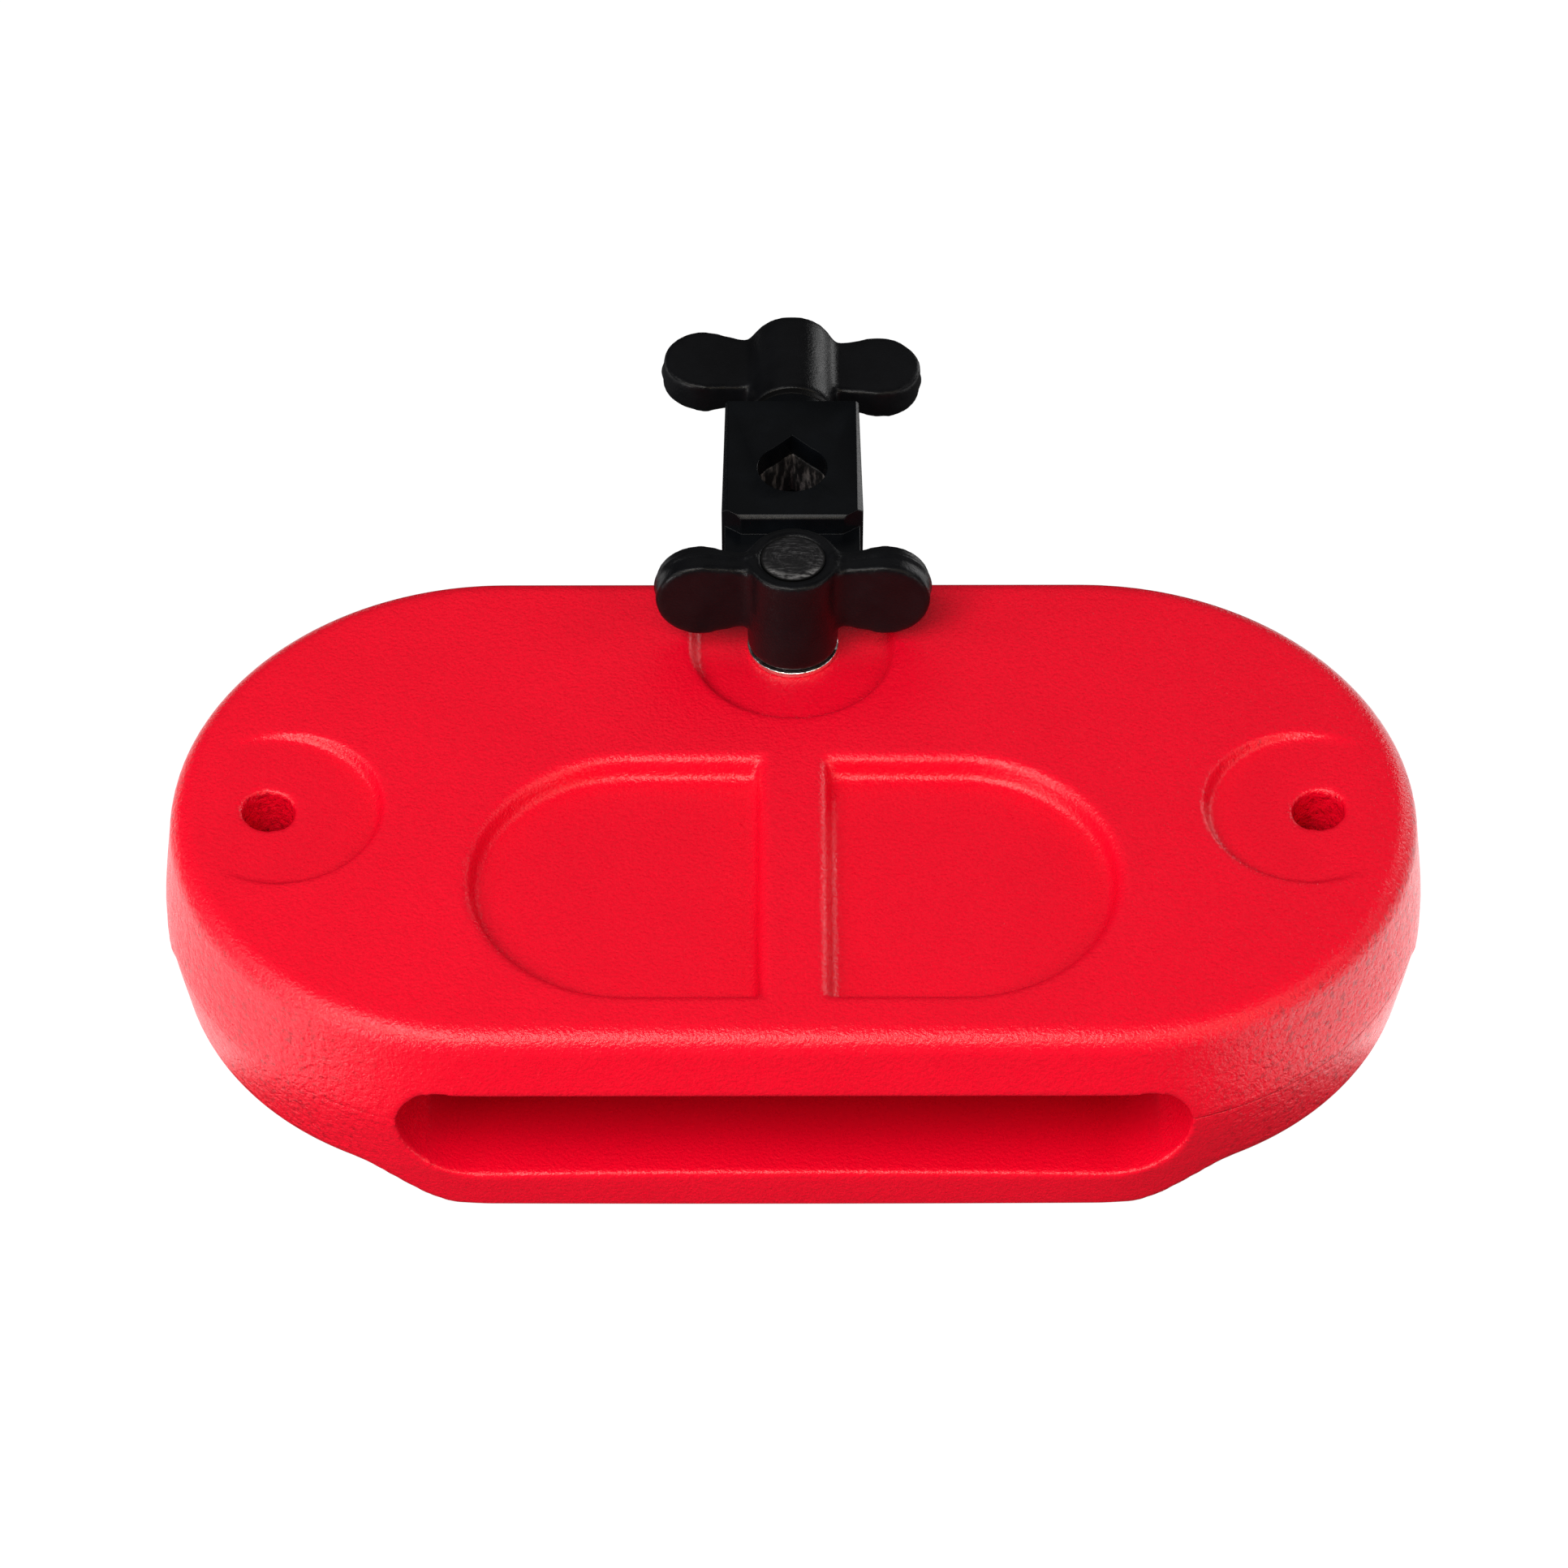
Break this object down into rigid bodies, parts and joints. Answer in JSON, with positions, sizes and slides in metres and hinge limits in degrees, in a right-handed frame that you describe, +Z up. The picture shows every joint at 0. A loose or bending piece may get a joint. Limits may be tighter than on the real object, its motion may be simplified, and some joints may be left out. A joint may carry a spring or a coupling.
{
  "type": "woodblock",
  "caption": "Low oblong moulded percussion block with a slotted sound chamber, twin striking pockets and a swivelling rod clamp tightened by wing nuts.",
  "frame": {"origin": "middle of the flat resting face under the sound chamber, on the block's mid planes", "axes": "+Z up out of the striking face, +X along the block to the player's right, +Y towards the rod clamp"},
  "size_m": [0.204, 0.1693, 0.059],
  "materials": {
    "shell_upper": "fine-grained moulded plastic, satin",
    "shell_lower": "fine-grained moulded plastic, satin",
    "cast_black": "satin black coating on a casting, thin bright bevels",
    "eye_steel": "dark rough casting",
    "bolt_steel": "zinc plated",
    "washer_steel": "bright plated",
    "washer_black": "blackened",
    "grip_black": "satin over-moulded grip",
    "cap_black": "scuffed satin disc",
    "insert_brass": "machined"
  },
  "bodies": {
    "block": {"upper_shell": "shell_upper", "lower_shell": "shell_lower", "swivel_bolt": "bolt_steel", "head_washer": "bolt_steel"},
    "clamp": {"clamp_housing": "cast_black", "rod_washer": "washer_black"},
    "swivel_carrier": {"swivel_washer": "washer_steel"},
    "swivel_nut": {"swivel_nut_grip": "grip_black", "swivel_nut_insert": "insert_brass", "swivel_nut_cap": "cap_black"},
    "eye": {"eye_bolt": "eye_steel"},
    "rod_nut": {"rod_nut_grip": "grip_black", "rod_nut_insert": "insert_brass", "rod_nut_cap": "cap_black"}
  },
  "joints": [
    {"name": "clamp_swivel", "type": "hinge", "parent": "block", "child": "clamp", "pos_m": [0, 0.0375, 0.0308], "axis": [0, 0, 1], "range_deg": [-8, 8]},
    {"name": "swivel_nut_lift", "type": "slide", "parent": "block", "child": "swivel_carrier", "axis": [0, 0, 1], "range_m": [0, 0.005]},
    {"name": "swivel_nut_turn", "type": "hinge", "parent": "swivel_carrier", "child": "swivel_nut", "pos_m": [0, 0.0375, 0.0392], "axis": [0, 0, 1], "range_deg": [0, 1440]},
    {"name": "rod_nut_turn", "type": "hinge", "parent": "clamp", "child": "rod_nut", "pos_m": [0, 0.096, 0.0354], "axis": [0, -1, 0], "range_deg": [0, 864]},
    {"name": "eye_draw", "type": "slide", "parent": "clamp", "child": "eye", "axis": [0, 1, 0], "range_m": [0, 0.003]}
  ],
  "couplings": [
    {"joint": "swivel_nut_turn", "follows": "swivel_nut_lift", "rad_per_m": 5026.5},
    {"joint": "rod_nut_turn", "follows": "eye_draw", "rad_per_m": 5026.5}
  ]
}
